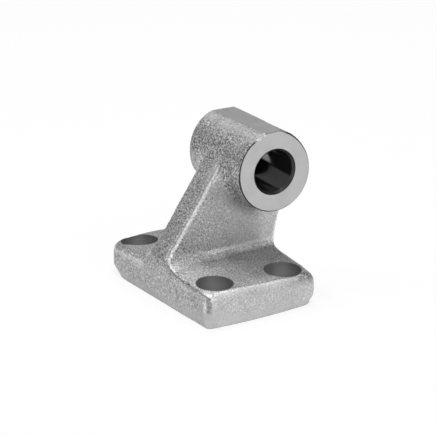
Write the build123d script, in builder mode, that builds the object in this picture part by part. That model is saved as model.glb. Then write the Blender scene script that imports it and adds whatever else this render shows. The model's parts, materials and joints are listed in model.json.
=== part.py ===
from build123d import *
import math
import os

os.makedirs("parts", exist_ok=True)

# Cylinder bearing block: one casting with a base plate, a leaning web and a
# tube hub that carries a swivel pin. All sizes in millimetres.
# X runs along the pin bore, Y across the plate, Z up from the machined foot.
# The origin is the centre of the four-bolt pattern on the foot.

# base plate
plate_length = 54.6
plate_width = 35.6
plate_height_at_web = 10.7
plate_height_at_ends = 8.9
plate_corner_radius = 3.5

# four bolts
bolt_spacing_long = 41.0
bolt_spacing_short = 22.0
bolt_hole_radius = 3.3
bolt_head_pocket_radius = 5.3
bolt_head_pocket_floor = 4.0

# leaning web between plate and hub
web_thickness = 8.8
web_root_radius = 3.5
web_low_side_rise = 12.0
web_high_side_rise = 12.5
web_low_side_bend = 6.0
web_high_side_bend = 8.0
web_low_side_inset = 0.2
web_high_side_inset = 0.8

# hub and pin bore
hub_radius = 11.2
hub_length = 28.0
hub_offset = 13.0
hub_height = 36.0
hub_blend_radius = 2.0
hub_face_chamfer = 0.35
bore_radius = 6.0
bore_chamfer = 0.6

# flat land left along the top of the hub where the casting was trimmed
land_height = 11.1
land_top_width = 4.8
land_foot_width = 8.2
land_side_drop = 1.0

# rounding of the outer cast rims
rim_radius = 1.2

half_length = plate_length / 2
half_width = plate_width / 2
half_web = web_thickness / 2
half_hub = hub_length / 2
hub_top = hub_height + hub_radius

# two positions closer than this count as the same when edges are picked
same_place = 0.01


def touch_point(start_y, start_z, radius, turn):
    """Point where a line from the start touches a circle about the bore axis."""
    run = hub_offset - start_y
    rise = hub_height - start_z
    reach = math.hypot(run, rise)
    swing = math.atan2(rise, run) + turn * math.asin(radius / reach)
    length = math.sqrt(reach * reach - radius * radius)
    return (start_y + length * math.cos(swing), start_z + length * math.sin(swing))


low_touch = touch_point(-half_width, web_low_side_rise, hub_radius - web_low_side_inset, 1)
high_touch = touch_point(half_width, web_high_side_rise, hub_radius - web_high_side_inset, -1)

with BuildPart() as bearing_block:
    # front outline: sloping wings of the plate run up into the web
    with BuildSketch(Plane.XZ) as front_outline:
        with BuildLine():
            Polyline(
                (-half_length, 0),
                (half_length, 0),
                (half_length, plate_height_at_ends),
                (half_web, plate_height_at_web),
                (half_web, hub_top),
                (-half_web, hub_top),
                (-half_web, plate_height_at_web),
                (-half_length, plate_height_at_ends),
                close=True,
            )
        make_face()
        right_root = front_outline.vertices().sort_by_distance((half_web, plate_height_at_web, 0))[0]
        left_root = front_outline.vertices().sort_by_distance((-half_web, plate_height_at_web, 0))[0]
        fillet([right_root, left_root], web_root_radius)
    extrude(amount=hub_offset + hub_radius + half_width, both=True)

    # side outline: plate and leaning web, cut out of the front outline
    with BuildSketch(Plane.YZ) as side_outline:
        with BuildLine():
            Polyline(
                (-half_width, 0),
                (-half_width, web_low_side_rise),
                low_touch,
                (hub_offset, hub_height),
                high_touch,
                (half_width, web_high_side_rise),
                (half_width, 0),
                close=True,
            )
        make_face()
        low_bend = side_outline.vertices().sort_by_distance((-half_width, web_low_side_rise, 0))[0]
        fillet(low_bend, web_low_side_bend)
        high_bend = side_outline.vertices().sort_by_distance((half_width, web_high_side_rise, 0))[0]
        fillet(high_bend, web_high_side_bend)
    extrude(amount=plate_length, both=True, mode=Mode.INTERSECT)

    # upright corners of the plate
    upright = bearing_block.edges().filter_by(Axis.Z)
    fillet(upright.filter_by(lambda edge: abs(edge.center().X) > half_length - same_place), plate_corner_radius)

    # rounded cast rims: every outer edge above the upright sides of the plate,
    # but not the cross lines at the roots nor the ends that the hub swallows
    rims = bearing_block.edges().filter_by(lambda edge: edge.center().Z > plate_height_at_ends * 0.9)
    rims = rims.filter_by(lambda edge: abs(edge.center().X) > same_place)
    rims = rims.filter_by(lambda edge: edge.center().Y < 0 or edge.center().Z < hub_height - bore_radius / 2)
    along_y = rims.filter_by(Axis.Y)
    root_lines = along_y.filter_by(lambda edge: abs(edge.center().X) < half_length - same_place)
    rims = ShapeList([edge for edge in rims if edge not in root_lines])
    fillet(rims, rim_radius)

    # hub tube
    with BuildSketch(Plane.YZ):
        with Locations((hub_offset, hub_height)):
            Circle(hub_radius)
    extrude(amount=half_hub, both=True)

    # blend of the web into the hub: the two long arcs where they meet
    hub_seams = bearing_block.edges().filter_by(GeomType.CIRCLE)
    hub_seams = hub_seams.filter_by(lambda edge: abs(abs(edge.center().X) - half_web) < same_place)
    hub_seams = hub_seams.filter_by(lambda edge: edge.length > hub_radius)
    fillet(hub_seams, hub_blend_radius)

    # flat land along the top of the hub
    with BuildSketch(Plane.YZ):
        with BuildLine():
            Polyline(
                (hub_offset - land_foot_width / 2, hub_height + land_height - land_side_drop),
                (hub_offset - land_top_width / 2, hub_height + land_height),
                (hub_offset + land_top_width / 2, hub_height + land_height),
                (hub_offset + land_foot_width / 2, hub_height + land_height - land_side_drop),
                (hub_offset, hub_height + (bore_radius + hub_radius) / 2),
                close=True,
            )
        make_face()
    extrude(amount=half_hub, both=True)

    # turned end faces of the hub, with the outer corner broken
    hub_faces = bearing_block.faces().filter_by(Axis.X)
    hub_faces = hub_faces.filter_by(lambda face: abs(abs(face.center().X) - half_hub) < same_place)
    for hub_face in hub_faces:
        chamfer(hub_face.outer_wire().edges(), hub_face_chamfer)

    # pin bore with lead-in chamfers
    with BuildSketch(Plane.YZ.offset(-half_hub)):
        with Locations((hub_offset, hub_height)):
            Circle(bore_radius)
    extrude(amount=hub_length, mode=Mode.SUBTRACT)
    mouths = bearing_block.edges().filter_by(GeomType.CIRCLE)
    mouths = mouths.filter_by(lambda edge: abs(edge.radius - bore_radius) < same_place)
    mouths = mouths.filter_by(lambda edge: abs(abs(edge.center().X) - half_hub) < same_place)
    chamfer(mouths, bore_chamfer)

    # four bolt holes, each with a deep round pocket for the bolt head
    with BuildSketch(Plane.XY):
        with GridLocations(bolt_spacing_long, bolt_spacing_short, 2, 2):
            Circle(bolt_hole_radius)
    extrude(amount=plate_height_at_web, mode=Mode.SUBTRACT)
    with BuildSketch(Plane.XY.offset(bolt_head_pocket_floor)):
        with GridLocations(bolt_spacing_long, bolt_spacing_short, 2, 2):
            Circle(bolt_head_pocket_radius)
    extrude(amount=plate_height_at_web, mode=Mode.SUBTRACT)

bearing_block.part.label = "bearing_block"
export_step(bearing_block.part, "parts/bearing_block.step")
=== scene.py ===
"""Looks of the cylinder bearing block: its cast skin, its machined faces and a plain pale stage."""

import json
import math

import bmesh
import bpy
import numpy as np
from bpy.props import FloatProperty, FloatVectorProperty, IntProperty, PointerProperty
from mathutils import Matrix, Vector


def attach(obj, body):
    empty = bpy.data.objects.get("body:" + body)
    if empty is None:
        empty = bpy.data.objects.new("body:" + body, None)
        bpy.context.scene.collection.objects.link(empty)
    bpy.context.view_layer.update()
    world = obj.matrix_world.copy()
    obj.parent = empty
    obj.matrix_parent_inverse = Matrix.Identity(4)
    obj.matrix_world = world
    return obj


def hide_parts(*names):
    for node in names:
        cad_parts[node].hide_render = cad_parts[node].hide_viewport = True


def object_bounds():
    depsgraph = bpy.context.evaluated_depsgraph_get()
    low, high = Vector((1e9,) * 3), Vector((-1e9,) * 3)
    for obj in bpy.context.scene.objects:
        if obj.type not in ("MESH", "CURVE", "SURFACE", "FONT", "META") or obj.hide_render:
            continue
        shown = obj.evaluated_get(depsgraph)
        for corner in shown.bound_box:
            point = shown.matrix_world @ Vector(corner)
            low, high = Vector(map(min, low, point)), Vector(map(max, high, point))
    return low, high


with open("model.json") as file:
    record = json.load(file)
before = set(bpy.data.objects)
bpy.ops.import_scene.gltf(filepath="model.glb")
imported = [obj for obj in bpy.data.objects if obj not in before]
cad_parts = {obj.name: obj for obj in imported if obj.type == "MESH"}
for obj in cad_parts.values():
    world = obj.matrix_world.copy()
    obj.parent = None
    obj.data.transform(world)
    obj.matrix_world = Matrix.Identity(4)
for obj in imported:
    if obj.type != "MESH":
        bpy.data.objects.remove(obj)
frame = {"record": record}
CAD_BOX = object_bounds()

bl_info = {
    "name": "Cylinder bearing block",
    "version": (1, 0, 0),
    "blender": (4, 5, 0),
    "location": "View3D > Sidebar > Bearing block",
    "description": "Builds the casting with its sand grain and machined faces, and a pale stage",
    "category": "Object",
}

MM = 0.001
MOUNTS = {mount["name"]: mount for mount in frame["record"]["mounts"]}
PIN_BORE = MOUNTS["pin_bore"]
BOLTS = MOUNTS["foot_bolts"]["dims"]

# places of the finishes in the casting's list of materials
SKIN, FACED, BORED, POCKET, DARK_CORNER, GROUND = range(6)

# the hub lies above this height, and the plate with its pockets below the other, in millimetres
HUB_FROM = 20
PLATE_TO = 14


class CastingSizes(bpy.types.PropertyGroup):
    """Sizes of the casting before it is machined."""

    plate_length: FloatProperty(
        name="Plate length",
        description="Length of the base plate along the pin axis, at its widest level",
        default=CAD_BOX[1].x - CAD_BOX[0].x,
        unit="LENGTH",
    )
    plate_width: FloatProperty(
        name="Plate width",
        description="Width of the base plate, at its widest level",
        default=35.6 * MM,
        unit="LENGTH",
    )
    plate_rise_at_web: FloatProperty(
        name="Plate height at web",
        description="Height of the wings where they meet the web",
        default=10.7 * MM,
        unit="LENGTH",
    )
    plate_rise_at_ends: FloatProperty(
        name="Plate height at ends",
        description="Height of the wings at the ends of the plate",
        default=8.9 * MM,
        unit="LENGTH",
    )
    web_thickness: FloatProperty(
        name="Web thickness",
        description="Thickness of the leaning web",
        default=8.8 * MM,
        unit="LENGTH",
    )
    hub_radius: FloatProperty(
        name="Hub radius",
        description="Mean outer radius of the raw hub",
        default=11.2 * MM,
        unit="LENGTH",
    )
    hub_length: FloatProperty(
        name="Hub length",
        description="Distance between the two faced ends of the hub",
        default=28.0 * MM,
        unit="LENGTH",
    )
    cell: FloatProperty(
        name="Skin cell",
        description="Edge length of the faces of the cast skin",
        default=0.33 * MM,
        unit="LENGTH",
    )


class GrainSizes(bpy.types.PropertyGroup):
    """Sizes of the sand grain on the cast skin."""

    grain_size: FloatProperty(
        name="Grain size",
        description="Width of one sand grain mark",
        default=0.7 * MM,
        unit="LENGTH",
    )
    grain_height: FloatProperty(
        name="Grain height",
        description="Height of the grain marks",
        default=0.07 * MM,
        unit="LENGTH",
    )
    wave_size: FloatProperty(
        name="Wave size",
        description="Width of the slow waves of a cast face",
        default=9.0 * MM,
        unit="LENGTH",
    )
    wave_height: FloatProperty(
        name="Wave height",
        description="Height of the slow waves of a cast face",
        default=0.12 * MM,
        unit="LENGTH",
    )
    seed: IntProperty(
        name="Seed",
        description="Draw of the grain",
        default=4,
    )


class MachiningSizes(bpy.types.PropertyGroup):
    """Sizes of the machined faces and holes."""

    bore_radius: FloatProperty(
        name="Bore radius",
        description="Radius of the pin bore",
        default=PIN_BORE["dims"]["r_mm"] * MM,
        unit="LENGTH",
    )
    bore_chamfer: FloatProperty(
        name="Bore chamfer",
        description="Lead-in chamfer at both ends of the pin bore",
        default=0.75 * MM,
        unit="LENGTH",
    )
    hole_radius: FloatProperty(
        name="Bolt hole radius",
        description="Radius of the through holes of the bolts",
        default=BOLTS["hole_r_mm"] * MM,
        unit="LENGTH",
    )
    pocket_radius: FloatProperty(
        name="Head pocket radius",
        description="Radius of the pocket round each bolt head",
        default=5.3 * MM,
        unit="LENGTH",
    )
    pocket_floor: FloatProperty(
        name="Head pocket floor",
        description="Height of the pocket floors above the foot",
        default=4.0 * MM,
        unit="LENGTH",
    )
    land_rise: FloatProperty(
        name="Land height",
        description="Height of the ground land above the pin axis",
        default=11.15 * MM,
        unit="LENGTH",
    )


class FinishColours(bpy.types.PropertyGroup):
    """Colours of the bare metal."""

    skin: FloatVectorProperty(
        name="Cast skin",
        description="Colour of the blasted cast skin",
        default=(0.56, 0.56, 0.56),
        subtype="COLOR",
    )
    machined: FloatVectorProperty(
        name="Machined metal",
        description="Colour of the faced, ground and bored metal",
        default=(0.62, 0.62, 0.62),
        subtype="COLOR",
    )


def round_cut(a, b, radius, share=0.0):
    """Distance to what two solids share, with the edge between them rounded.

    share is how far their outward directions agree: 0 for walls at a right angle.
    """
    deep_a, deep_b = a + radius, b + radius
    span = deep_a**2 + deep_b**2 - 2 * share * deep_a * deep_b
    arc = np.sqrt(np.maximum(span, 0) / (1 - share**2)) - radius
    wedge = (deep_a > share * deep_b) & (deep_b > share * deep_a)
    return np.where(wedge, arc, np.maximum(a, b))


def round_join(a, b, radius, share=0.0):
    """Distance to two solids joined with a hollow fillet."""
    return -round_cut(-a, -b, radius, share)


def ease(low, high, value):
    """Smooth step from 0 at low to 1 at high."""
    t = np.clip((value - low) / (high - low), 0, 1)
    return t * t * (3 - 2 * t)


def lobe(around, way, sharpness):
    """Swelling about an axis: 1 at the angle way, 0 from a right angle away."""
    return np.maximum(np.cos(around - way), 0) ** sharpness


def tangent(start, centre, radius, turn):
    """Unit direction of the line from start that touches a circle, and the touch point."""
    run = np.subtract(centre, start)
    reach = math.hypot(*run)
    swing = math.atan2(run[1], run[0]) + turn * math.asin(radius / reach)
    way = np.array((math.cos(swing), math.sin(swing)))
    return way, np.add(start, way * math.sqrt(reach**2 - radius**2))


def beside_line(y, z, touch, way):
    """How far to the left of a line points lie, and how far past its touch point."""
    step_y, step_z = y - touch[0], z - touch[1]
    return step_z * way[0] - step_y * way[1], step_y * way[0] + step_z * way[1]


class Casting:
    """The raw casting as a distance field, in millimetres."""

    # height of the plate's -Y and +Y walls, and the radii that bend them into the web's narrow faces
    low_rise, high_rise = 12.0, 12.5
    low_bend, high_bend = 3.0, 30.0
    # how far under the hub's skin the web's narrow faces run into it
    low_inset, high_inset = -0.06, -0.3
    hub_sink = 0.02
    # the narrow -Y face is a little hollow over this length
    hollow, hollow_length = 0.3, 37
    # metal left for machining on the foot and on the hub's ends
    stock = 0.8
    # the casting sits a little towards +Y on its bolt holes, and its wings sag that way
    shift = 0.45
    tilt = 0.035
    # on +X the wing drops less than on -X, and is level along its -Y rim
    plus_drop_share = 0.72
    plus_level_from = -9.5
    wing_slope = 0.995
    # fillet between wing and web, smaller towards +Y
    root_radius, root_taper = 2.6, 0.1
    web_rim = 1.3
    # the raw hub is smaller than its mean size, drafted and slightly oval
    hub_undersize = 0.08
    hub_draft = 0.02
    oval, oval_growth, oval_turn = 0.3, 0.007, 2.09
    # its low swellings: height, angle, sharpness, and where along X each begins and is full
    swellings = (
        (0.05, -0.75, 2, 0, 14),
        (0.08, 0.5, 2, 0, 14),
        (0.4, -2.57, 2, 0, 14),
        (0.3, 1.2, 20, 0, 14),
        (0.55, -2.53, 8, -2, -12),
        (-0.25, 1.35, 8, -6, -14),
    )
    # the ground land rises towards +X, and the pad under it narrows that way
    land_drop, land_slope = 0.05, 0.054
    pad_middle, pad_half, pad_taper = -0.15, 2.95, 0.014
    pad_stock, pad_lean, pad_fillet = 0.6, 0.707, 1.2
    # broken corners of the hub: least width, then each change of it with its angle and sharpness
    plus_corner = (0.34, ((0.12, 0.9, 4), (-0.15, 2.3, 8), (0.3, 1.94, 60)))
    minus_corner = (0.15, ((0.8, 1.2, 12),))
    # fillet between web and hub, and how much smaller it is on the web's -Y side
    hub_fillet, hub_fillet_loss = 4.8, 2.3

    def __init__(self, sizes):
        self.half_length = sizes.plate_length / MM / 2
        self.half_width = sizes.plate_width / MM / 2
        self.rise_at_web = sizes.plate_rise_at_web / MM
        self.rise_at_ends = sizes.plate_rise_at_ends / MM
        self.half_web = sizes.web_thickness / MM / 2
        self.hub_radius = sizes.hub_radius / MM
        self.half_hub = sizes.hub_length / MM / 2
        self.hub_y = PIN_BORE["pos_m"][1] / MM
        self.hub_z = PIN_BORE["pos_m"][2] / MM
        centre = (self.hub_y, self.hub_z)
        self.low_way, self.low_touch = tangent(
            (-self.half_width, self.low_rise), centre, self.hub_radius - self.low_inset, 1
        )
        self.high_way, self.high_touch = tangent(
            (self.half_width + self.shift, self.high_rise), centre, self.hub_radius - self.high_inset, -1
        )

    def side(self, y, z):
        """Outline seen along the pin axis: the plate's two walls and the leaning web."""
        # the -Y wall bulges at half its height, and the +Y wall draws in towards the foot
        low_bulge = 0.2 * ease(0, 3, z) - 0.2 * ease(5, 11, z)
        low_wall = self.shift - self.half_width - low_bulge - y
        high_bulge = 0.2 - 0.7 * (1 - ease(0, 4, z))
        high_wall = y - self.half_width - self.shift - high_bulge
        low_lean, low_end = beside_line(y, z, self.low_touch, self.low_way)
        low_lean += self.hollow * np.sin(math.pi * np.clip(1 + low_end / self.hollow_length, 0, 1))
        high_lean, high_end = beside_line(y, z, self.high_touch, self.high_way)
        low = round_cut(low_wall, low_lean, self.low_bend, self.low_way[1])
        high = round_join(high_wall, -high_lean, self.high_bend, self.high_way[1])
        # past both touch points the web follows the hub and sinks under its skin
        past = np.minimum(low_end, high_end)
        top = np.hypot(y - self.hub_y, z - self.hub_z) - self.hub_radius + self.hub_sink * past**2
        top += np.where(low_end < high_end, self.low_inset, self.high_inset)
        walls = np.where(low_end > 0, high, np.where(high_end > 0, low, np.maximum(low, high)))
        return np.where(past > 0, top, walls)

    def ends(self, x, y, z):
        """The two end walls of the plate, slightly barrelled and wider at the top."""
        plus_barrel = 0.5 - 0.0033 * (y + 5) ** 2 * (1 - 0.8 * ease(0, 2.6, z))
        minus_barrel = 0.2 - 0.0015 * y**2
        flare = 0.15 * ease(0, 4, z)
        return np.abs(x) - self.half_length - np.where(x > 0, plus_barrel, minus_barrel) - flare

    def corner_radius(self, x, y, z):
        """Radius of the plate's upright corners: cut back near the foot, sharp at the near corner."""
        near_corner = (x > 0) & (y < 0)
        sharp = 1.5 + 0.6 * ease(2, 5, z)
        upper = np.where(x < 0, 4.6, 3.8)
        foot = np.where(x < 0, 8.6, 3.9)
        cut_height = np.where(x < 0, 2.6, 2.4)
        cut_back = np.clip(1 - z / cut_height, 0, 1)
        return np.where(near_corner, sharp, upper + (foot - upper) * cut_back)

    def front(self, x, y, z):
        """Outline seen across the plate: the sloping wings run up into the web."""
        out = np.clip((np.abs(x) - self.half_web) / (self.half_length - self.half_web), 0, 1)
        drop = (self.rise_at_web - self.rise_at_ends) * np.where(x < 0, 1.0, self.plus_drop_share)
        sag = self.tilt * (np.where(x < 0, y, np.maximum(y, self.plus_level_from)) - 1)
        wing = (z - (self.rise_at_web - drop * out - sag)) * self.wing_slope
        web = np.abs(x) - self.half_web
        root = self.root_radius - self.root_taper * np.clip(y, -18, 14)
        return round_join(wing, web, root)

    def land_plane(self, x, z):
        """Height over the ground land."""
        return z - self.hub_z - self.hub_radius + self.land_drop - self.land_slope * x

    def hub(self, x, y, z):
        """Raw hub, a little out of round, with a low pad along its top."""
        run, rise = y - self.hub_y, z - self.hub_z
        around = np.arctan2(rise, run)
        swell = (self.oval + self.oval_growth * x) * np.cos(2 * around + self.oval_turn)
        for height, way, sharpness, begin, full in self.swellings:
            swell += height * ease(begin, full, x) * lobe(around, way, sharpness)
        radius = self.hub_radius - self.hub_undersize + self.hub_draft * x + swell
        tube = np.hypot(run, rise) - radius
        over_land = self.land_plane(x, z)
        taper = self.pad_taper * x
        flank = (np.abs(run - self.pad_middle + taper) - self.pad_half + taper + over_land) * self.pad_lean
        pad = np.maximum(flank, over_land - self.pad_stock)
        # the pad is only on the hub's upper side
        pad = np.maximum(pad, self.hub_radius / 2 - rise)
        raw = round_join(tube, pad, self.pad_fillet, 0.5)
        return np.maximum(raw, np.abs(x) - self.half_hub - self.stock)

    def face_edge(self, x, land_rise):
        """Angles about the bore axis, and the turned face's radius at each of them.

        The corner of the raw hub is broken by a narrow chamfer.
        """
        # every half degree, and radii every hundredth of a millimetre
        around = np.linspace(-math.pi, math.pi, 721)
        radii = np.linspace(self.hub_radius - 2, self.hub_radius + 3, 501)[:, None]
        skin = self.hub(x, self.hub_y + radii * np.cos(around), self.hub_z + radii * np.sin(around))
        outline = radii[np.argmax(skin > 0, axis=0), 0]
        land = land_rise + self.land_slope * x
        outline = np.minimum(outline, land / np.maximum(np.sin(around), 0.1))
        # the tool's path is smooth over six degrees
        span = 13
        outline = np.pad(outline[:-1], span // 2, mode="wrap")
        outline = np.convolve(outline, np.ones(span) / span, "valid")
        outline = np.append(outline, outline[0])
        least, changes = self.plus_corner if x > 0 else self.minus_corner
        width = least + sum(change * lobe(around, way, sharpness) for change, way, sharpness in changes)
        return around, outline - width

    def body(self, x, y, z):
        """Plate and web with rounded corners and rims."""
        side, ends = self.side(y, z), self.ends(x, y, z)
        walls = round_cut(ends, side, self.corner_radius(x, y, z))
        # rims of the plate's long sides and of its ends, then the web's
        far = ease(6, 12, y)
        side_rim = 1.0 + far + 2.0 * ease(15, 25, -x) + 0.8 * ease(18, 26, x) * far
        end_rim = np.where(x > 0, 2.3 + 0.7 * ease(6, 15, y), 2.6 + 0.9 * ease(4, 14, -y))
        rim = side_rim + (end_rim - side_rim) * ease(-1.5, 1.5, ends - side)
        rim = self.web_rim + (rim - self.web_rim) * ease(5, 9, np.abs(x))
        return round_cut(self.front(x, y, z), walls, rim)

    def distance(self, x, y, z):
        """Distance from the casting's skin: below zero inside."""
        body, hub = self.body(x, y, z), self.hub(x, y, z)
        # where the web runs tangent into the hub, the fillet between them fades out
        # share is how far both surfaces face the same way, found with a small step h
        h = 0.05
        body_way = [self.body(x + a, y + b, z + c) - body for a, b, c in h * np.eye(3)]
        run, rise = y - self.hub_y, z - self.hub_z
        reach = np.maximum(np.hypot(run, rise), 1)
        steep = np.maximum(np.sqrt(sum(way**2 for way in body_way)), 0.3 * h)
        share = (body_way[1] * run + body_way[2] * rise) / reach / steep
        # it is smaller where the web's -Y edge runs on into the hub
        fillet = self.hub_fillet - self.hub_fillet_loss * ease(5, 1, y) * ease(33, 36, z)
        shape = round_join(body, hub, fillet, np.clip(share, 0, 0.97))
        return np.maximum(shape, -z - self.stock)


# corners of a grid cell, counted from its lowest one
CELL_CORNERS = np.array(list(np.ndindex(2, 2, 2)))


def skin_mesh(casting, step):
    """Closed mesh of the casting's skin: points in millimetres and four-sided faces."""
    # room round the casting
    low = np.array((-29.0, -20.0, -1.6))
    high = np.array((29.0, 26.5, 50.0))
    axes = [np.arange(a, b, step) for a, b in zip(low, high)]
    count = [len(axis) for axis in axes]
    field = np.empty(count, np.float32)
    grid_y, grid_z = np.meshgrid(axes[1], axes[2], indexing="ij")
    for i, x in enumerate(axes[0]):
        field[i] = casting.distance(x, grid_y, grid_z)
    # each cell that the skin runs through gets one point, which is then pulled onto the skin
    inside = field < 0
    corners = [tuple(slice(i, n - 1 + i) for i, n in zip(offset, count)) for offset in CELL_CORNERS]
    total = sum(inside[corner].astype(np.int8) for corner in corners)
    cells = np.argwhere((total > 0) & (total < 8))
    points = low + (cells + middle_of_crossings(field, cells)) * step
    for _ in range(4):
        points -= pull_to_skin(casting, points)
    number = np.full([n - 1 for n in count], -1, np.int32)
    number[tuple(cells.T)] = np.arange(len(cells))
    return points, faces_round_edges(inside, number)


def middle_of_crossings(field, cells):
    """Mean of the places where each cell's edges cross the skin, in cell widths."""
    place = np.zeros((len(cells), 3))
    hits = np.zeros(len(cells))
    for start in CELL_CORNERS:
        for axis, along in enumerate(np.eye(3, dtype=int)):
            if start[axis]:
                continue
            at_start = field[tuple((cells + start).T)]
            at_end = field[tuple((cells + start + along).T)]
            crossed = (at_start < 0) != (at_end < 0)
            share = np.where(crossed, at_start / np.where(crossed, at_start - at_end, 1), 0)
            point = start + np.outer(share, along)
            place[crossed] += point[crossed]
            hits[crossed] += 1
    return place / hits[:, None]


def faces_round_edges(inside, number):
    """One face round each edge of the grid that crosses the skin, as numbers of its points."""
    quads = []
    for axis in range(3):
        u, v = [k for k in range(3) if k != axis]
        ahead = [slice(1, n - 1) for n in inside.shape]
        behind = list(ahead)
        ahead[axis] = slice(1, inside.shape[axis])
        behind[axis] = slice(0, inside.shape[axis] - 1)
        spots = np.argwhere(inside[tuple(ahead)] != inside[tuple(behind)])
        spots += np.array([0 if k == axis else 1 for k in range(3)])
        solid_ahead = inside[tuple(spots.T)]
        ring = []
        for du, dv in ((0, 0), (1, 0), (1, 1), (0, 1)):
            cell = spots.copy()
            cell[:, u] -= du
            cell[:, v] -= dv
            ring.append(number[tuple(cell.T)])
        ring = np.stack(ring, 1)
        # every face runs the same way round, seen from outside
        turn = solid_ahead if axis != 1 else ~solid_ahead
        ring[turn] = ring[turn][:, ::-1]
        quads.append(ring[:, ::-1])
    return np.concatenate(quads)


def pull_to_skin(casting, points):
    """Step that brings points nearer to the skin, by a tenth of a millimetre at most."""
    h = 0.02
    base = casting.distance(*points.T)
    slope = [(casting.distance(*(points + ahead).T) - base) / h for ahead in h * np.eye(3)]
    slope = np.stack(slope, 1)
    steep = np.maximum((slope**2).sum(1), 0.2)
    return np.clip((base / steep)[:, None] * slope, -0.1, 0.1) * 0.9


def add_object(name, points, faces):
    """Mesh object at the origin from points in metres."""
    mesh = bpy.data.meshes.new(name)
    if isinstance(faces, np.ndarray):
        faces = faces.tolist()
    mesh.from_pydata([tuple(p) for p in points], [], faces)
    mesh.update()
    made = bpy.data.objects.new(name, mesh)
    bpy.context.scene.collection.objects.link(made)
    return made


def outward(mesh):
    """Turns every face of a closed mesh to the outside."""
    work = bmesh.new()
    work.from_mesh(mesh)
    bmesh.ops.recalc_face_normals(work, faces=work.faces)
    work.to_mesh(mesh)
    work.free()


def lathe(name, profile, axis, centre, segments=128, edge=None):
    """Closed turned solid from a profile of (radius, place along the axis) points.

    With an edge, the radius of a hole's rim for each direction, it is a ring round that hole,
    and its profile is a loop with radii counted from the rim. Without one it is capped.
    """
    points, faces = [], []
    along = Vector(axis)
    side = along.orthogonal().normalized()
    other = along.cross(side)
    for radius, place in profile:
        for i in range(segments):
            angle = math.tau * i / segments
            way = side * math.cos(angle) + other * math.sin(angle)
            reach = radius + (edge(way) if edge else 0)
            points.append(tuple(Vector(centre) + along * place + way * reach))
    rings = len(profile)
    for ring in range(rings if edge else rings - 1):
        a, b = ring * segments, (ring + 1) % rings * segments
        for i in range(segments):
            j = (i + 1) % segments
            faces.append((a + i, a + j, b + j, b + i))
    if not edge:
        faces.append(tuple(range(segments)))
        faces.append(tuple(range((rings - 1) * segments, rings * segments)))
    made = add_object(name, points, faces)
    outward(made.data)
    return made


def block(low, high):
    """Corners and faces of a plain box."""
    points = [(x, y, z) for x in (low[0], high[0]) for y in (low[1], high[1]) for z in (low[2], high[2])]
    faces = [(0, 1, 3, 2), (4, 6, 7, 5), (0, 4, 5, 1), (2, 3, 7, 6), (0, 2, 6, 4), (1, 5, 7, 3)]
    return points, faces


def freeze(source, name):
    """Plain mesh of an object with its modifiers applied; the source goes away."""
    graph = bpy.context.evaluated_depsgraph_get()
    mesh = bpy.data.meshes.new_from_object(source.evaluated_get(graph))
    made = bpy.data.objects.new(name, mesh)
    bpy.context.scene.collection.objects.link(made)
    bpy.data.objects.remove(source)
    return made


def cut(target, tool):
    """Takes the tool's solid out of the target."""
    step = target.modifiers.new("Machining", "BOOLEAN")
    step.operation = "DIFFERENCE"
    step.solver = "MANIFOLD"
    step.object = tool
    name = target.name
    target.name = name + ".raw"
    before = len(target.data.polygons)
    made = freeze(target, name)
    if len(made.data.polygons) == before:
        raise RuntimeError(f"{tool.name} cut nothing off {name}")
    bpy.data.objects.remove(tool)
    return made


def new_tree(name, floats, others=()):
    """Geometry node tree with named inputs and one geometry through it."""
    tree = bpy.data.node_groups.new(name, "GeometryNodeTree")
    tree.interface.new_socket("Geometry", in_out="INPUT", socket_type="NodeSocketGeometry")
    tree.interface.new_socket("Geometry", in_out="OUTPUT", socket_type="NodeSocketGeometry")
    for label in floats:
        tree.interface.new_socket(label, in_out="INPUT", socket_type="NodeSocketFloat")
    for label, kind in others:
        tree.interface.new_socket(label, in_out="INPUT", socket_type=kind)
    start = tree.nodes.new("NodeGroupInput")
    end = tree.nodes.new("NodeGroupOutput")
    return tree, start, end


def finish_tree(tree, geometry, start, end):
    """Last two nodes of every tree: real geometry, with its material."""
    real = tree.nodes.new("GeometryNodeRealizeInstances")
    coat = tree.nodes.new("GeometryNodeSetMaterial")
    tree.links.new(geometry, real.inputs[0])
    tree.links.new(real.outputs[0], coat.inputs["Geometry"])
    tree.links.new(start.outputs["Material"], coat.inputs["Material"])
    tree.links.new(coat.outputs[0], end.inputs[0])


def run_tree(target, tree, values, name):
    """Runs a node tree on an object and gives the plain result."""
    step = target.modifiers.new(tree.name, "NODES")
    step.node_group = tree
    for item in tree.interface.items_tree:
        if item.item_type == "SOCKET" and item.in_out == "INPUT" and item.name in values:
            step[item.identifier] = values[item.name]
    target.name = name + ".plain"
    return freeze(target, name)


def maths(tree, operation, a, b):
    """Math node; an input may be a socket or a number."""
    node = tree.nodes.new("ShaderNodeMath")
    node.operation = operation
    for socket, value in zip(node.inputs, (a, b)):
        if isinstance(value, bpy.types.NodeSocket):
            tree.links.new(value, socket)
        else:
            socket.default_value = value
    return node.outputs[0]


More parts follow.
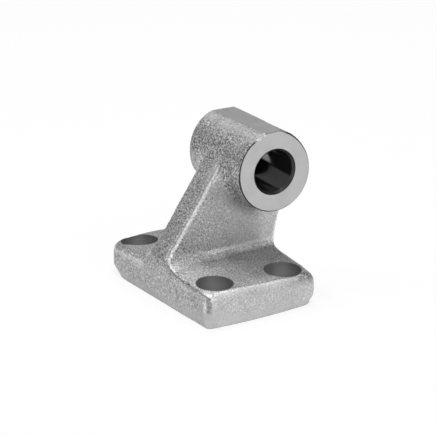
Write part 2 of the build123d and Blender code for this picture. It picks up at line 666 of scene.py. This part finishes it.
def grain_tree():
    """Lifts the cast skin along its normal by sand grain and slow waves."""
    tree, start, end = new_tree(
        "Sand grain",
        ("Grain Size", "Grain Height", "Wave Size", "Wave Height", "Seed"),
        (("Material", "NodeSocketMaterial"),),
    )
    lifts = []
    for size, height, detail, rough in (
        ("Grain Size", "Grain Height", 1.6, 0.62),
        ("Wave Size", "Wave Height", 1.0, 0.5),
    ):
        noise = tree.nodes.new("ShaderNodeTexNoise")
        # the seed is the place along the fourth dimension
        noise.noise_dimensions = "4D"
        noise.inputs["Detail"].default_value = detail
        noise.inputs["Roughness"].default_value = rough
        tree.links.new(start.outputs["Seed"], noise.inputs["W"])
        tree.links.new(maths(tree, "DIVIDE", 1.0, start.outputs[size]), noise.inputs["Scale"])
        # noise keeps close to its middle value, and three times as wide it spans about one height
        lift = maths(tree, "SUBTRACT", noise.outputs[0], 0.5)
        lift = maths(tree, "MULTIPLY", lift, 3.0)
        lifts.append(maths(tree, "MULTIPLY", lift, start.outputs[height]))
    share = tree.nodes.new("GeometryNodeInputNamedAttribute")
    share.data_type = "FLOAT"
    share.inputs["Name"].default_value = "grain"
    fine = maths(tree, "MULTIPLY", lifts[0], share.outputs["Attribute"])
    lift = maths(tree, "ADD", fine, lifts[1])
    normal = tree.nodes.new("GeometryNodeInputNormal")
    move = tree.nodes.new("ShaderNodeVectorMath")
    move.operation = "SCALE"
    tree.links.new(normal.outputs[0], move.inputs[0])
    tree.links.new(lift, move.inputs["Scale"])
    place = tree.nodes.new("GeometryNodeSetPosition")
    tree.links.new(start.outputs["Geometry"], place.inputs["Geometry"])
    tree.links.new(move.outputs[0], place.inputs["Offset"])
    finish_tree(tree, place.outputs[0], start, end)
    return tree


def pattern_tree():
    """Repeats one tool at the four bolt places."""
    tree, start, end = new_tree(
        "Bolt pattern",
        ("Spacing Long", "Spacing Short"),
        (("Material", "NodeSocketMaterial"),),
    )
    grid = tree.nodes.new("GeometryNodeMeshGrid")
    grid.inputs["Vertices X"].default_value = 2
    grid.inputs["Vertices Y"].default_value = 2
    tree.links.new(start.outputs["Spacing Long"], grid.inputs["Size X"])
    tree.links.new(start.outputs["Spacing Short"], grid.inputs["Size Y"])
    spread = tree.nodes.new("GeometryNodeInstanceOnPoints")
    tree.links.new(grid.outputs["Mesh"], spread.inputs["Points"])
    tree.links.new(start.outputs["Geometry"], spread.inputs["Instance"])
    finish_tree(tree, spread.outputs[0], start, end)
    return tree


def shader_base(name, colour, metallic, roughness):
    """Material with one Principled shader; gives the tree, the shader and object coordinates."""
    material = bpy.data.materials.new(name)
    material.use_nodes = True
    tree = material.node_tree
    shader = tree.nodes["Principled BSDF"]
    shader.inputs["Base Color"].default_value = (*colour, 1)
    shader.inputs["Metallic"].default_value = metallic
    shader.inputs["Roughness"].default_value = roughness
    spot = tree.nodes.new("ShaderNodeTexCoord").outputs["Object"]
    return material, tree, shader, spot


def noise_at(tree, spot, size, detail=2.0, rough=0.5):
    """Noise pattern whose marks have the given width."""
    node = tree.nodes.new("ShaderNodeTexNoise")
    node.inputs["Scale"].default_value = 1 / size
    node.inputs["Detail"].default_value = detail
    node.inputs["Roughness"].default_value = rough
    tree.links.new(spot, node.inputs["Vector"])
    return node.outputs[0]


def ramp(tree, value, stops):
    """Colour ramp between grey stops given as (place, grey)."""
    node = tree.nodes.new("ShaderNodeValToRGB")
    bar = node.color_ramp.elements
    while len(bar) < len(stops):
        bar.new(0.5)
    for element, (place, grey) in zip(bar, stops):
        element.position = place
        element.color = (grey, grey, grey, 1)
    tree.links.new(value, node.inputs[0])
    return node.outputs[0]


def bump(tree, shader, height, distance, strength):
    """Bump of a shader from a height pattern."""
    node = tree.nodes.new("ShaderNodeBump")
    node.inputs["Strength"].default_value = strength
    node.inputs["Distance"].default_value = distance
    tree.links.new(height, node.inputs["Height"])
    tree.links.new(node.outputs[0], shader.inputs["Normal"])


def cast_skin(colours):
    """Blasted raw casting: matt grey, with dark pits and bright worn grains, and the painted highlights and
    painted shade stored on the skin.
    """
    material, tree, shader, spot = shader_base("blasted_cast_skin", colours.skin, 0.9, 0.5)
    grains = noise_at(tree, spot, 0.48 * MM, 2.5, 0.62)
    patches = noise_at(tree, spot, 7 * MM)
    marks = []
    # the grain's share, then the painted light and shade with the worn edges
    for name in ("grain", "painted_light_and_wear"):
        mark = tree.nodes.new("ShaderNodeAttribute")
        mark.attribute_name = name
        marks.append(mark.outputs["Fac"])
    share, painted_light_and_wear = marks
    # pits and bright grains, weaker where the grain is finer
    deep = maths(tree, "SUBTRACT", grains, 0.5)
    deep = maths(tree, "ADD", maths(tree, "MULTIPLY", deep, share), 0.5)
    grey = colours.skin[0]
    stops = ((0.3, grey * 0.22), (0.43, grey * 0.76), (0.57, grey * 1.05), (0.7, grey * 1.7))
    pits = ramp(tree, deep, stops)
    # from painted shade over plain to painted highlights and worn edges
    bright = ramp(tree, painted_light_and_wear, ((0.0, 0.6), (0.5, 0.98), (1.0, 1.45)))
    uneven = ramp(tree, patches, ((0.3, 0.9), (0.7, 1.03)))
    tone = tree.nodes.new("ShaderNodeMix")
    tone.data_type = "RGBA"
    tone.blend_type = "MULTIPLY"
    tone.inputs["Factor"].default_value = 1.0
    tree.links.new(pits, tone.inputs[6])
    tree.links.new(maths(tree, "MULTIPLY", bright, uneven), tone.inputs[7])
    tree.links.new(tone.outputs[2], shader.inputs["Base Color"])
    # bright grains, worn edges and painted highlights are smoother
    dull = ramp(tree, grains, ((0.3, 0.62), (0.7, 0.42)))
    polish = maths(tree, "MULTIPLY", maths(tree, "SUBTRACT", painted_light_and_wear, 0.5), 0.24)
    tree.links.new(maths(tree, "SUBTRACT", dull, polish), shader.inputs["Roughness"])
    bump(tree, shader, noise_at(tree, spot, 0.34 * MM, 3.0, 0.65), 0.1 * MM, 0.9)
    return material


def turned_face(colours, name, shade, roughness, mark_width):
    """Machined metal with faint tool marks; shade is its share of the machined grey."""
    grey = colours.machined[0] * shade
    material, tree, shader, spot = shader_base(name, colours.machined, 0.9, roughness)
    cloud = noise_at(tree, spot, 4 * MM)
    tone = ramp(tree, cloud, ((0.3, grey * 0.94), (0.7, grey * 1.04)))
    tree.links.new(tone, shader.inputs["Base Color"])
    bump(tree, shader, noise_at(tree, spot, mark_width, 3.0, 0.6), 0.004 * MM, 0.6)
    return material


class SkinMarks:
    """Where the cast skin is finer, worn pale, painted with highlights and painted with shade, at each point
    of its mesh.

    Each pale or dark place is a share from 0 to 1. Lengths are in millimetres, angles in radians.
    """

    def __init__(self, mesh, casting):
        place = np.empty(len(mesh.vertices) * 3, np.float32)
        normal = np.empty_like(place)
        mesh.vertices.foreach_get("co", place)
        mesh.vertices.foreach_get("normal", normal)
        x, y, z = place.reshape(-1, 3).T / MM
        self.casting, self.x, self.y, self.z = casting, x, y, z
        # depth inside the plate's end walls, the side outline and the front outline
        self.in_end = -casting.ends(x, y, z)
        self.in_side = -casting.side(y, z)
        self.in_front = -casting.front(x, y, z)
        # place round the bore axis
        self.reach = np.hypot(y - casting.hub_y, z - casting.hub_z)
        self.angle = np.arctan2(z - casting.hub_z, y - casting.hub_y)
        self.outside_bore = self.reach > 9
        self.near_corner = (x > 0) & (y < 0)
        # the web's broad faces, then the top of the hub beside its land
        self.broad = ease(0.6, 0.95, np.abs(normal[::3])) * (np.abs(x) < 6) * ease(-8, 6, y) * ease(9, 13, z)
        self.beside_land = ease(1.5, 1.7, self.angle) * ease(2.3, 2.1, self.angle) * self.outside_bore
        self.web_edge = self.edge_of_web()
        self.web_end = self.end_of_web_edge()
        # the painted shade
        self.painted_shade = self.all_painted_shade()

    def edge_of_web(self):
        """Long edge between the web's narrow -Y face and its broad faces, where a highlight is painted."""
        close = ease(1.0, 0.5, np.maximum(self.in_front, self.in_side))
        even = ease(1.4, 0.7, np.abs(self.in_front - self.in_side))
        height = ease(11, 14, self.z) * ease(36, 34, self.z)
        return 0.9 * close * even * height * (np.abs(self.x) < 6) * (self.y < 4)

    def end_of_web_edge(self):
        """Painted highlight where that edge runs into the hub on +X: a short line with soft sides."""
        start, way, length = np.array((3.9, -2.6, 35)), np.array((-0.12, 0.57, 0.81)), 4.5
        from_start = np.stack((self.x, self.y, self.z), 1) - start
        along = np.clip(from_start @ way, 0, length)
        gap = np.linalg.norm(from_start - along[:, None] * way, axis=1)
        return 0.9 * ease(2.6, 1.3, gap)

    def sharp_edges(self):
        """Edges, found by how sharply the skin bends outwards, less marked on the plate's rims: worn edges
        with a painted highlight.
        """
        x, y, z = self.x, self.y, self.z
        h = 0.5
        around = np.concatenate((h * np.eye(3), -h * np.eye(3)))
        bend = sum(self.casting.distance(x + a, y + b, z + c) for a, b, c in around)
        bend = (bend - 6 * self.casting.distance(x, y, z)) / h**2
        end_rim = ease(18, 24, x) * ease(-15, -13, y)
        side_rim = ease(4.6, 7, x) * (y < -12)
        above_foot = ease(2.5, 5, z)
        return ease(0.3, 0.8, bend) * above_foot * (1 - 0.8 * end_rim) * (1 - 0.75 * side_rim)

    def ledge(self):
        """Painted highlight on the top of the plate at its near corner, beside the pocket."""
        by_corner = ease(8.5, 6, self.in_end + self.in_side) * ease(1.2, 1.8, self.in_end)
        return 0.9 * by_corner * ease(8.6, 9.1, self.z) * self.near_corner

    def corner_line(self):
        """Painted highlight in an upright line beside the near corner."""
        off_line = np.abs(self.in_end - 1.3 - 0.2 * (9.1 - self.z))
        line = ease(0.9, 0.3, off_line) * ease(0.6, 0.2, self.in_side)
        return 0.9 * line * ease(4.2, 4.8, self.z) * self.near_corner

    def brink(self):
        """Painted highlight on the top of the +X wing along its -Y rim."""
        on_top = ease(5, 9, self.x) * ease(7.5, 8.5, self.z)
        return 0.3 * ease(4.5, 1.5, self.in_side) * on_top * (self.y < 0)

    def root_line(self):
        """Painted highlight in a line along the top of the fillet between web and plate."""
        out = np.abs(self.x)
        on_fillet = ease(4.15, 4.35, out) * ease(6, 5.5, out)
        return 0.7 * ease(0.75, 0.3, np.abs(self.z - 12.45)) * on_fillet * ease(-6, -3, self.y)

    def plus_end(self):
        """Painted light over the plate's whole +X end, most at its top."""
        return (0.4 + 0.3 * ease(7, 8.5, self.z)) * ease(24.5, 26.5, self.x)

    def wing_behind(self):
        """Painted light on the top of the -X wing."""
        return 0.6 * ease(-6, -10, self.x) * ease(6, 8, self.z) * ease(14, 12, self.z)

    def web_far_part(self):
        """Painted light on the web's broad faces towards +Y."""
        return 0.3 * self.broad * ease(11, 16, self.y)

    def highlights_and_worn_edges(self):
        """All painted highlights and worn edges together."""
        places = (
            self.sharp_edges(),
            self.ledge(),
            self.corner_line(),
            self.web_edge,
            self.web_end,
            self.brink(),
            # a faint painted highlight on the hub's top beside the land
            0.08 * self.beside_land,
            self.root_line(),
            self.plus_end(),
            self.wing_behind(),
            self.web_far_part(),
        )
        return np.max(places, axis=0)

    def all_painted_shade(self):
        """All painted shade together."""
        x, y, z = self.x, self.y, self.z
        # painted shade on the rounding of the near corner
        corner = ease(1.6, 0.9, self.in_end) * ease(1.6, 0.6, self.in_side)
        corner *= ease(4.2, 5, z) * ease(9.6, 9, z) * self.near_corner
        # painted shade in a line above the +X rim
        end_rim = ease(3, 2.5, self.in_end) * ease(1.5, 1.9, self.in_end) * ease(7.5, 8.2, z)
        end_rim *= ease(-13, -11, y) * (x > 0)
        # painted shade on the top of the plate at its far +X corner
        far_corner = ease(23.5, 24.5, x) * ease(11.5, 13, y) * ease(7.5, 8, z)
        # painted shade in a line along the top of the plate's -Y side and round the foot of the web
        height = np.interp(x, (-22, -7, 4.5, 6.5, 25), (8.3, 10, 12.3, 10.4, 9.2))
        shade_line = ease(1.3, 0.4, np.abs(z - height)) * ease(1.6, 0.8, self.in_side) * (y < 0)
        shade_line *= ease(-24, -20, x) * ease(25, 23, x)
        # painted shade on the hub's -Y flank
        flank = ease(2.55, 2.75, self.angle) * ease(3.14, 3, self.angle) * ease(13, 12.3, self.reach)
        places = (
            0.7 * corner,
            0.6 * end_rim,
            0.8 * far_corner,
            0.42 * shade_line,
            0.3 * flank * self.outside_bore,
        )
        return np.max(places, axis=0)

    def painted_light_and_wear(self):
        """From 0 under painted shade over 0.5 where the skin is plain to 1 on worn edges and painted
        highlights.
        """
        return 0.5 + 0.5 * self.highlights_and_worn_edges() * (1 - self.painted_shade) - 0.5 * self.painted_shade

    def grain(self):
        """Height and contrast of the sand grain, as a share of the full grain."""
        x, y, z = self.x, self.y, self.z
        # a smoother band above the foot widens towards the near corner
        band_top = 1.2 + 3.4 * ease(-5, -17, y) * ease(18, 27, x)
        share = 0.3 + 0.7 * ease(0, 1.5, z - band_top)
        share *= 1 - 0.4 * ease(25, 27, x) * (z < 9.5)
        # coarser on the hub and on the web's narrow face, finer on its broad faces
        not_broad = 1 - self.broad
        share *= 1 - (0.45 + 0.2 * ease(22, 28, z)) * self.broad
        share *= 1 + 0.5 * ease(13.5, 11.5, self.reach) * not_broad
        share *= 1 + 0.3 * ease(4.4, 3.8, np.abs(x)) * ease(12, 15, z) * ease(8, 2, y) * not_broad
        # finer on the plate's -Y side, under the hub's far end, beside the land and on the web's edge
        share *= 1 - 0.2 * ease(1.2, 0.6, self.in_side) * (y < -10) * ease(11, 9, z) * (np.abs(x) < 25)
        share *= 1 - 0.5 * ease(-8.5, -10.5, x) * ease(37.5, 35.5, z) * (z > HUB_FROM)
        share *= 1 - 0.35 * self.beside_land
        share *= 1 - 0.5 * np.maximum(self.web_edge, self.web_end)
        # coarser grain where shade is painted
        return share * (1 + 0.9 * self.painted_shade)

    def store(self, mesh):
        """Puts the shares on the mesh, where the node trees read them."""
        # the grain's share, then the painted light and shade with the worn edges
        for name, values in (("grain", self.grain()), ("painted_light_and_wear", self.painted_light_and_wear())):
            layer = mesh.attributes.new(name, "FLOAT", "POINT")
            layer.data.foreach_set("value", values.astype(np.float32))


def face_tools(casting, tools):
    """Solids that cut the foot, the two hub ends with their outer corners, and the land."""
    half, y, z = casting.half_hub, casting.hub_y, casting.hub_z
    land = z + tools.land_rise / MM
    # how far the boxes reach from the middle of the foot, and from the bore axis
    clear, wide, deep, high, land_wide = 40, 13, 13.5, 14, 9
    boxes = (
        ("foot_cut", (-clear, -clear, -5), (clear, clear, 0), 0),
        ("plus_end_cut", (half, y - wide, z - deep), (half + 5, y + wide, z + high), 0),
        ("minus_end_cut", (-half - 5, y - wide, z - deep), (-half, y + wide, z + high), 0),
        ("land_cut", (-clear, y - land_wide, land), (clear, y + land_wide, land + 9), casting.land_slope),
    )
    made = []
    for name, low, top, slope in boxes:
        corners, sides = block(low, top)
        tool = add_object(name, [Vector((a, b, c + slope * a)) * MM for a, b, c in corners], sides)
        outward(tool.data)
        made.append(tool)
    # a ring whose inner side leans at 45 degrees breaks each outer corner
    end, width = half * MM, 3 * MM
    loop = [(0, end), (width, end - width), (width, end + MM), (0, end + MM)]
    for side in (-1, 1):
        around, radii = casting.face_edge(side * half, tools.land_rise / MM)

        def edge(way, around=around, radii=radii):
            """Radius of the turned face in one direction."""
            return np.interp(math.atan2(way.z, way.y), around, radii) * MM

        made.append(lathe("corner_cut", loop, (side, 0, 0), (0, y * MM, z * MM), 192, edge))
    return made


def bore_tool(casting, tools):
    """Solid of the pin bore with its lead-in chamfers."""
    radius, chamfer = tools.bore_radius, tools.bore_chamfer
    half, over = casting.half_hub * MM, 2 * MM
    profile = [
        (radius + chamfer + over, -half - over),
        (radius, -half + chamfer),
        (radius, half - chamfer),
        (radius + chamfer + over, half + over),
    ]
    centre = (0, casting.hub_y * MM, casting.hub_z * MM)
    return lathe("boring", profile, (1, 0, 0), centre)


def pocket_tools(tools, material):
    """Solids of the four bolt holes with their head pockets."""
    profile = [
        (tools.hole_radius, -2 * MM),
        (tools.hole_radius, tools.pocket_floor),
        (tools.pocket_radius, tools.pocket_floor),
        (tools.pocket_radius, 16 * MM),
    ]
    one = lathe("counterbore", profile, (0, 0, 1), (0, 0, 0), 96)
    values = {
        "Spacing Long": BOLTS["spacing_x_mm"] * MM,
        "Spacing Short": BOLTS["spacing_y_mm"] * MM,
        "Material": material,
    }
    return run_tree(one, pattern_tree(), values, "counterbores")


def sort_faces(mesh, casting, tools):
    """Place of each face's finish in the list, and which faces are not to be smoothed."""
    count = len(mesh.polygons)
    centre, normal = np.empty(count * 3), np.empty(count * 3)
    mesh.polygons.foreach_get("center", centre)
    mesh.polygons.foreach_get("normal", normal)
    x, y, z = centre.reshape(-1, 3).T / MM
    nx, _, nz = normal.reshape(-1, 3).T
    reach = np.hypot(y - casting.hub_y, z - casting.hub_z)
    angle = np.degrees(np.arctan2(z - casting.hub_z, y - casting.hub_y))
    # faces this close to a tool's surface were cut by it
    near = 0.02
    on_hub = z > HUB_FROM
    leaning = (np.abs(nx) > 0.6) & (np.abs(nx) < 0.8)
    ring = (np.abs(np.abs(x) - casting.half_hub) < near) & (np.abs(nx) > 0.99) & on_hub
    foot = (np.abs(z) < near) & (nz < -0.99)
    land = casting.hub_z + tools.land_rise / MM + casting.land_slope * x
    strip = (np.abs(z - land) < near) & (nz > 0.99)
    chamfer = np.zeros(count, bool)
    for side in (-1, 1):
        around, radii = casting.face_edge(side * casting.half_hub, tools.land_rise / MM)
        edge = np.interp(np.radians(angle), around, radii)
        beyond = reach - edge + side * x - casting.half_hub
        chamfer |= (np.abs(beyond) < 2 * near) & (side * x > 0)
    chamfer &= leaning & on_hub
    bore = (reach < (tools.bore_radius + tools.bore_chamfer) / MM + near) & (np.abs(nx) < 0.8) & on_hub
    across = np.abs(x) - BOLTS["spacing_x_mm"] / 2
    along = np.abs(y) - BOLTS["spacing_y_mm"] / 2
    pocket = (np.hypot(across, along) < tools.pocket_radius / MM + near) & (z < PLATE_TO) & ~foot
    pocket &= (np.abs(nz) < 0.001) | (np.abs(z - tools.pocket_floor / MM) < near)
    # on +X the chamfer keeps the cast skin round its top, and has the faced finish where it was ground with
    # the land, which also paints a glint there; elsewhere the broken corners get the dark finish as painted
    # shade
    raw = (angle > 70) & (angle < 122) & (nx > 0)
    ground = (angle > 103) & (angle < 119) & (nx > 0)
    kind = np.full(count, SKIN, np.int32)
    kind[ring | foot | (chamfer & ground)] = FACED
    kind[strip] = GROUND
    kind[bore] = BORED
    kind[(chamfer & ~raw) | (bore & (np.abs(nx) > 0.6))] = DARK_CORNER
    kind[pocket] = POCKET
    return kind, ring | foot | strip | chamfer


def finish_faces(mesh, finishes, casting, tools):
    """Gives each face its finish, and each machined border a sharp edge."""
    kind, unsmoothed = sort_faces(mesh, casting, tools)
    mesh.materials.clear()
    for finish in finishes:
        mesh.materials.append(finish)
    mesh.polygons.foreach_set("material_index", kind)
    mesh.polygons.foreach_set("use_smooth", ~unsmoothed)
    sharp_turn = 0.5
    work = bmesh.new()
    work.from_mesh(mesh)
    for edge in work.edges:
        faces = edge.link_faces
        if len(faces) == 2:
            same = faces[0].material_index == faces[1].material_index
            turned = faces[0].material_index != SKIN and edge.calc_face_angle(0) > sharp_turn
            edge.smooth = same and not turned
    work.to_mesh(mesh)
    work.free()
    mesh.update()


class BLOCK_OT_casting(bpy.types.Operator):
    """Build the cast block with its grain, faces, bore and bolt pockets"""

    bl_idname = "bearing_block.casting"
    bl_label = "Casting"

    def execute(self, context):
        scene = context.scene
        sizes, grain = scene.block_casting, scene.block_grain
        tools, colours = scene.block_machining, scene.block_finish
        finishes = [cast_skin(colours)]
        # name, share of the machined grey, roughness and width of the tool marks
        for name, shade, roughness, mark_width in (
            ("faced_metal", 0.865, 0.42, 0.25 * MM),
            # darker than the faced metal: painted shade in the bore
            ("bored_metal", 0.3, 0.1, 0.2 * MM),
            # a little darker than the faced metal: painted shade in the pockets
            ("pocket_metal", 0.78, 0.42, 0.3 * MM),
            # nearly black: painted shade on the hub's broken corners, also given to the bore's chamfers
            ("dark_corner_metal", 0.08, 0.35, 0.2 * MM),
            # lighter than the faced metal: the land's ground finish, with painted light
            ("ground_metal", 1.12, 0.42, 0.25 * MM),
        ):
            finishes.append(turned_face(colours, name, shade, roughness, mark_width))
        casting = Casting(sizes)
        points, quads = skin_mesh(casting, sizes.cell / MM)
        skin = add_object("skin", points * MM, quads)
        outward(skin.data)
        SkinMarks(skin.data, casting).store(skin.data)
        values = {
            "Grain Size": grain.grain_size,
            "Grain Height": grain.grain_height,
            "Wave Size": grain.wave_size,
            "Wave Height": grain.wave_height,
            "Seed": float(grain.seed),
            "Material": finishes[SKIN],
        }
        skin = run_tree(skin, grain_tree(), values, "bearing_block_casting")
        for tool in face_tools(casting, tools):
            skin = cut(skin, tool)
        skin = cut(skin, bore_tool(casting, tools))
        skin = cut(skin, pocket_tools(tools, finishes[SKIN]))
        finish_faces(skin.data, finishes, casting, tools)
        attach(skin, "root")
        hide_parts("bearing_block")
        return {"FINISHED"}


class BLOCK_OT_stage(bpy.types.Operator):
    """Build the pale floor, the soft lamps and the camera"""

    bl_idname = "bearing_block.stage"
    bl_label = "Stage"

    def execute(self, context):
        self.floor()
        self.lamps()
        self.world(context.scene)
        self.camera(context.scene)
        context.scene.view_settings.view_transform = "Standard"
        return {"FINISHED"}

    @staticmethod
    def floor():
        """Pale floor, seen nearly white by the camera, in metal and through glass."""
        half, glow_share = 3.0, 0.84
        corners = [(-half, -half, 0), (half, -half, 0), (half, half, 0), (-half, half, 0)]
        floor = add_object("floor", corners, [(0, 1, 2, 3)])
        material = bpy.data.materials.new("pale_floor")
        material.use_nodes = True
        tree = material.node_tree
        shader = tree.nodes["Principled BSDF"]
        shader.inputs["Base Color"].default_value = (0.9, 0.9, 0.9, 1)
        shader.inputs["Roughness"].default_value = 0.9
        shader.inputs["Specular IOR Level"].default_value = 0.0
        glow = tree.nodes.new("ShaderNodeEmission")
        glow.inputs["Color"].default_value = (1, 1, 1, 1)
        mix = tree.nodes.new("ShaderNodeMixShader")
        path = tree.nodes.new("ShaderNodeLightPath")
        seen = maths(tree, "MAXIMUM", path.outputs["Is Camera Ray"], path.outputs["Is Glossy Ray"])
        seen = maths(tree, "MAXIMUM", seen, path.outputs["Is Transmission Ray"])
        tree.links.new(maths(tree, "MULTIPLY", seen, glow_share), mix.inputs[0])
        tree.links.new(shader.outputs[0], mix.inputs[1])
        tree.links.new(glow.outputs[0], mix.inputs[2])
        tree.links.new(mix.outputs[0], tree.nodes["Material Output"].inputs["Surface"])
        floor.data.materials.append(material)

    @staticmethod
    def lamps():
        """Soft lamps, all as far from the block and turned to face it."""
        middle, distance = Vector((0, 0.005, 0.02)), 0.6
        # name, way to the lamp, width and height in metres, watts
        for name, way, width, height, power in (
            ("overhead_strip", (0, 0, 1), 0.6, 0.02, 1.8),
            ("overhead_strip_left", (-0.22, 0, 1), 0.6, 0.02, 0.99),
            ("overhead_strip_behind", (0, 0.35, 1), 0.6, 0.06, 0.39),
            ("right_box", (0.84, 0, 0.54), 0.75, 0.4, 1.64),
            ("back_box", (0, 0.84, 0.54), 0.75, 0.4, 0.385),
            ("left_box", (-0.62, 0, 0.78), 0.75, 0.22, 0.52),
            ("left_front_lamp", (-0.5, -0.6, 0.7), 0.25, 0.25, 0.44),
            ("front_lamp", (0.59, -0.75, 0.3), 0.1, 0.1, 0.2),
        ):
            data = bpy.data.lights.new(name, "AREA")
            data.shape = "RECTANGLE"
            data.size = width
            data.size_y = height
            data.energy = power
            lamp = bpy.data.objects.new(name, data)
            way = Vector(way).normalized()
            lamp.location = middle + way * distance
            lamp.rotation_mode = "QUATERNION"
            lamp.rotation_quaternion = way.to_track_quat("Z", "Y")
            bpy.context.scene.collection.objects.link(lamp)

    @staticmethod
    def world(scene):
        """White backdrop: seen whole by the camera and through glass, and low down by metal."""
        world = bpy.data.worlds.new("studio")
        world.use_nodes = True
        tree = world.node_tree
        path = tree.nodes.new("ShaderNodeLightPath")
        spot = tree.nodes.new("ShaderNodeSeparateXYZ")
        tree.links.new(tree.nodes.new("ShaderNodeTexCoord").outputs["Generated"], spot.inputs[0])
        low_down = ramp(tree, spot.outputs["Z"], ((0.0, 1), (0.1, 0)))
        seen = maths(tree, "MULTIPLY", path.outputs["Is Glossy Ray"], low_down)
        seen = maths(tree, "MAXIMUM", seen, path.outputs["Is Camera Ray"])
        seen = maths(tree, "MAXIMUM", seen, path.outputs["Is Transmission Ray"])
        tree.links.new(seen, tree.nodes["Background"].inputs["Color"])
        scene.world = world

    @staticmethod
    def camera(scene):
        """Camera at the photograph's angle, worked out from its outlines."""
        turn, lift, roll = math.radians(30.5), math.radians(21.57), math.radians(-1.26)
        # distance in metres, then focal length, picture width and shift in pixels
        distance, focus, picture, shift = 2.04, 7286, 436, (6.62, 68.67)
        back = Vector((math.cos(turn) * math.cos(lift), -math.sin(turn) * math.cos(lift), math.sin(lift)))
        level = Vector((math.sin(turn), math.cos(turn), 0))
        upright = back.cross(level)
        right = level * math.cos(roll) + upright * math.sin(roll)
        up = upright * math.cos(roll) - level * math.sin(roll)
        data = bpy.data.cameras.new("camera")
        data.sensor_width = 36
        data.lens = focus * data.sensor_width / picture
        data.shift_x, data.shift_y = shift[0] / picture, shift[1] / picture
        data.clip_start, data.clip_end = 0.1, 20
        camera = bpy.data.objects.new("camera", data)
        place = Matrix((right, up, back)).transposed().to_4x4()
        place.translation = back * distance
        camera.matrix_world = place
        scene.collection.objects.link(camera)
        scene.camera = camera


class BLOCK_PT_panel(bpy.types.Panel):
    """Sidebar panel of the bearing block"""

    bl_idname = "BLOCK_PT_panel"
    bl_label = "Bearing block"
    bl_space_type = "VIEW_3D"
    bl_region_type = "UI"
    bl_category = "Bearing block"

    def draw(self, context):
        for name, group in SETTINGS.items():
            box = self.layout.box()
            for key in group.__annotations__:
                box.prop(getattr(context.scene, name), key)
        self.layout.operator(BLOCK_OT_casting.bl_idname)
        self.layout.operator(BLOCK_OT_stage.bl_idname)


# the scene's settings and their groups
SETTINGS = {
    "block_casting": CastingSizes,
    "block_grain": GrainSizes,
    "block_machining": MachiningSizes,
    "block_finish": FinishColours,
}
CLASSES = (*SETTINGS.values(), BLOCK_OT_casting, BLOCK_OT_stage, BLOCK_PT_panel)


def register():
    """Adds the classes and the scene's settings."""
    for item in CLASSES:
        bpy.utils.register_class(item)
    for name, group in SETTINGS.items():
        setattr(bpy.types.Scene, name, PointerProperty(type=group))


def unregister():
    """Takes the settings and the classes away."""
    for name in SETTINGS:
        delattr(bpy.types.Scene, name)
    for item in reversed(CLASSES):
        bpy.utils.unregister_class(item)


def main():
    """Builds everything."""
    register()
    bpy.ops.bearing_block.casting()
    bpy.ops.bearing_block.stage()


if __name__ == "__main__":
    main()
